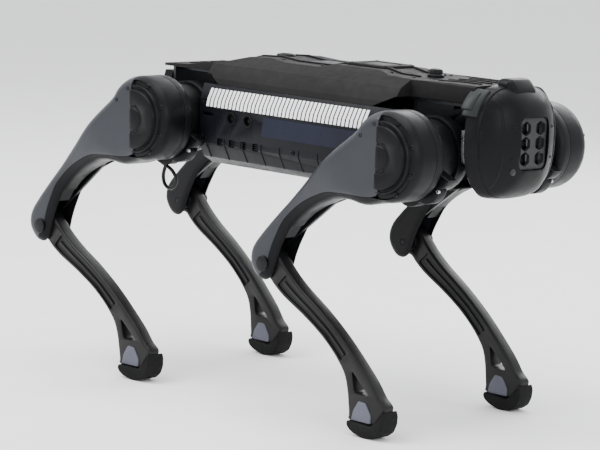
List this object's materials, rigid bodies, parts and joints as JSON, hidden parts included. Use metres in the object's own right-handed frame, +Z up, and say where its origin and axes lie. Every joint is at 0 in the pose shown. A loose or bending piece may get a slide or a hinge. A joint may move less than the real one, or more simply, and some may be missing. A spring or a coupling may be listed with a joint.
{
  "type": "quadruped robot dog",
  "caption": "Four-legged walking robot with a slim trunk, a rounded sensor head and legs that roll, swing and bend at the knee through a crank and push rod.",
  "frame": {"origin": "on the ground under the middle of the standing robot's bounding box", "axes": "+X forward along the trunk, +Y to the robot's left, +Z up"},
  "size_m": [0.7746, 0.352, 0.454],
  "materials": {
    "frame_alloy": "bead-blasted",
    "cover_black": "finely textured, matte",
    "panel_black": "satin",
    "battery_grey": "satin",
    "board_green": "lacquered board",
    "head_black": "satin",
    "face_dark": "satin",
    "lens_dark": "glossy",
    "cable_black": "smooth jacket",
    "thigh_slate": "satin paint",
    "motor_black": "black anodised, satin",
    "steel": "machined",
    "shank_black": "satin black",
    "foot_rubber": "matt rubber"
  },
  "bodies": {
    "trunk": {"chassis": "frame_alloy", "top_cover": "cover_black", "side_panel_left": "panel_black", "side_panel_right": "panel_black", "belly_pan": "cover_black", "battery": "battery_grey", "main_board": "board_green", "head_shell": "head_black", "face_plate": "face_dark", "sensor_module": "lens_dark", "tail_cover": "head_black", "front_right_roll_motor": "motor_black", "front_left_roll_motor": "motor_black", "rear_right_roll_motor": "motor_black", "rear_left_roll_motor": "motor_black"},
    "front_right_hip": {"front_right_hip_link": "motor_black", "front_right_thigh_motor": "motor_black"},
    "front_right_thigh": {"front_right_thigh_inner": "thigh_slate", "front_right_thigh_outer": "thigh_slate", "front_right_knee_motor": "motor_black", "front_right_motor_cap": "motor_black", "front_right_knee_pin": "steel"},
    "front_right_crank": {"front_right_knee_crank": "steel"},
    "front_right_rod": {"front_right_knee_rod": "steel"},
    "front_right_shank": {"front_right_shank": "shank_black", "front_right_foot": "foot_rubber"},
    "front_left_hip": {"front_left_hip_link": "motor_black", "front_left_thigh_motor": "motor_black"},
    "front_left_thigh": {"front_left_thigh_inner": "thigh_slate", "front_left_thigh_outer": "thigh_slate", "front_left_knee_motor": "motor_black", "front_left_motor_cap": "motor_black", "front_left_knee_pin": "steel"},
    "front_left_crank": {"front_left_knee_crank": "steel"},
    "front_left_rod": {"front_left_knee_rod": "steel"},
    "front_left_shank": {"front_left_shank": "shank_black", "front_left_foot": "foot_rubber"},
    "rear_right_hip": {"rear_right_cable_loop": "cable_black", "rear_right_hip_link": "motor_black", "rear_right_thigh_motor": "motor_black"},
    "rear_right_thigh": {"rear_right_thigh_inner": "thigh_slate", "rear_right_thigh_outer": "thigh_slate", "rear_right_knee_motor": "motor_black", "rear_right_motor_cap": "motor_black", "rear_right_knee_pin": "steel"},
    "rear_right_crank": {"rear_right_knee_crank": "steel"},
    "rear_right_rod": {"rear_right_knee_rod": "steel"},
    "rear_right_shank": {"rear_right_shank": "shank_black", "rear_right_foot": "foot_rubber"},
    "rear_left_hip": {"rear_left_hip_link": "motor_black", "rear_left_thigh_motor": "motor_black"},
    "rear_left_thigh": {"rear_left_thigh_inner": "thigh_slate", "rear_left_thigh_outer": "thigh_slate", "rear_left_knee_motor": "motor_black", "rear_left_motor_cap": "motor_black", "rear_left_knee_pin": "steel"},
    "rear_left_crank": {"rear_left_knee_crank": "steel"},
    "rear_left_rod": {"rear_left_knee_rod": "steel"},
    "rear_left_shank": {"rear_left_shank": "shank_black", "rear_left_foot": "foot_rubber"}
  },
  "joints": [
    {"name": "front_right_roll", "type": "hinge", "parent": "trunk", "child": "front_right_hip", "pos_m": [0.22575, -0.051, 0.356], "axis": [1, 0, 0], "range_deg": [-30, 30]},
    {"name": "front_right_swing", "type": "hinge", "parent": "front_right_hip", "child": "front_right_thigh", "pos_m": [0.28575, -0.14, 0.356], "axis": [0, 1, 0], "range_deg": [-111.2, 38.8]},
    {"name": "front_right_knee", "type": "hinge", "parent": "front_right_thigh", "child": "front_right_shank", "pos_m": [0.08624, -0.14, 0.19559], "axis": [0, 1, 0], "range_deg": [-53, 60]},
    {"name": "front_right_crank_turn", "type": "hinge", "parent": "front_right_thigh", "child": "front_right_crank", "pos_m": [0.28575, -0.14, 0.356], "axis": [0, 1, 0], "range_deg": [-54, 61]},
    {"name": "front_right_rod_swing", "type": "hinge", "parent": "front_right_crank", "child": "front_right_rod", "pos_m": [0.2751, -0.14, 0.36925], "axis": [0, 1, 0], "range_deg": [-61, 54]},
    {"name": "front_left_roll", "type": "hinge", "parent": "trunk", "child": "front_left_hip", "pos_m": [0.22575, 0.051, 0.356], "axis": [1, 0, 0], "range_deg": [-30, 30]},
    {"name": "front_left_swing", "type": "hinge", "parent": "front_left_hip", "child": "front_left_thigh", "pos_m": [0.28575, 0.14, 0.356], "axis": [0, 1, 0], "range_deg": [-113, 37]},
    {"name": "front_left_knee", "type": "hinge", "parent": "front_left_thigh", "child": "front_left_shank", "pos_m": [0.0813, 0.14, 0.20194], "axis": [0, 1, 0], "range_deg": [-53.2, 59.8]},
    {"name": "front_left_crank_turn", "type": "hinge", "parent": "front_left_thigh", "child": "front_left_crank", "pos_m": [0.28575, 0.14, 0.356], "axis": [0, 1, 0], "range_deg": [-54.2, 60.8]},
    {"name": "front_left_rod_swing", "type": "hinge", "parent": "front_left_crank", "child": "front_left_rod", "pos_m": [0.27552, 0.14, 0.36958], "axis": [0, 1, 0], "range_deg": [-60.8, 54.2]},
    {"name": "rear_right_roll", "type": "hinge", "parent": "trunk", "child": "rear_right_hip", "pos_m": [-0.09425, -0.051, 0.356], "axis": [1, 0, 0], "range_deg": [-30, 30]},
    {"name": "rear_right_swing", "type": "hinge", "parent": "rear_right_hip", "child": "rear_right_thigh", "pos_m": [-0.15425, -0.14, 0.356], "axis": [0, 1, 0], "range_deg": [-38, 41.6]},
    {"name": "rear_right_knee", "type": "hinge", "parent": "rear_right_thigh", "child": "rear_right_shank", "pos_m": [-0.34569, -0.14, 0.18604], "axis": [0, 1, 0], "range_deg": [-52.8, 60.2]},
    {"name": "rear_right_crank_turn", "type": "hinge", "parent": "rear_right_thigh", "child": "rear_right_crank", "pos_m": [-0.15425, -0.14, 0.356], "axis": [0, 1, 0], "range_deg": [-53.8, 61.2]},
    {"name": "rear_right_rod_swing", "type": "hinge", "parent": "rear_right_crank", "child": "rear_right_rod", "pos_m": [-0.16554, -0.14, 0.36871], "axis": [0, 1, 0], "range_deg": [-61.2, 53.8]},
    {"name": "rear_left_roll", "type": "hinge", "parent": "trunk", "child": "rear_left_hip", "pos_m": [-0.09425, 0.051, 0.356], "axis": [1, 0, 0], "range_deg": [-30, 30]},
    {"name": "rear_left_swing", "type": "hinge", "parent": "rear_left_hip", "child": "rear_left_thigh", "pos_m": [-0.15425, 0.14, 0.356], "axis": [0, 1, 0], "range_deg": [-38, 37]},
    {"name": "rear_left_knee", "type": "hinge", "parent": "rear_left_thigh", "child": "rear_left_shank", "pos_m": [-0.3587, 0.14, 0.20194], "axis": [0, 1, 0], "range_deg": [-53.2, 59.8]},
    {"name": "rear_left_crank_turn", "type": "hinge", "parent": "rear_left_thigh", "child": "rear_left_crank", "pos_m": [-0.15425, 0.14, 0.356], "axis": [0, 1, 0], "range_deg": [-54.2, 60.8]},
    {"name": "rear_left_rod_swing", "type": "hinge", "parent": "rear_left_crank", "child": "rear_left_rod", "pos_m": [-0.16448, 0.14, 0.36958], "axis": [0, 1, 0], "range_deg": [-60.8, 54.2]}
  ],
  "couplings": [
    {"joint": "front_right_crank_turn", "follows": "front_right_knee", "ratio": 1},
    {"joint": "front_right_rod_swing", "follows": "front_right_knee", "ratio": -1},
    {"joint": "front_left_crank_turn", "follows": "front_left_knee", "ratio": 1},
    {"joint": "front_left_rod_swing", "follows": "front_left_knee", "ratio": -1},
    {"joint": "rear_right_crank_turn", "follows": "rear_right_knee", "ratio": 1},
    {"joint": "rear_right_rod_swing", "follows": "rear_right_knee", "ratio": -1},
    {"joint": "rear_left_crank_turn", "follows": "rear_left_knee", "ratio": 1},
    {"joint": "rear_left_rod_swing", "follows": "rear_left_knee", "ratio": -1}
  ]
}
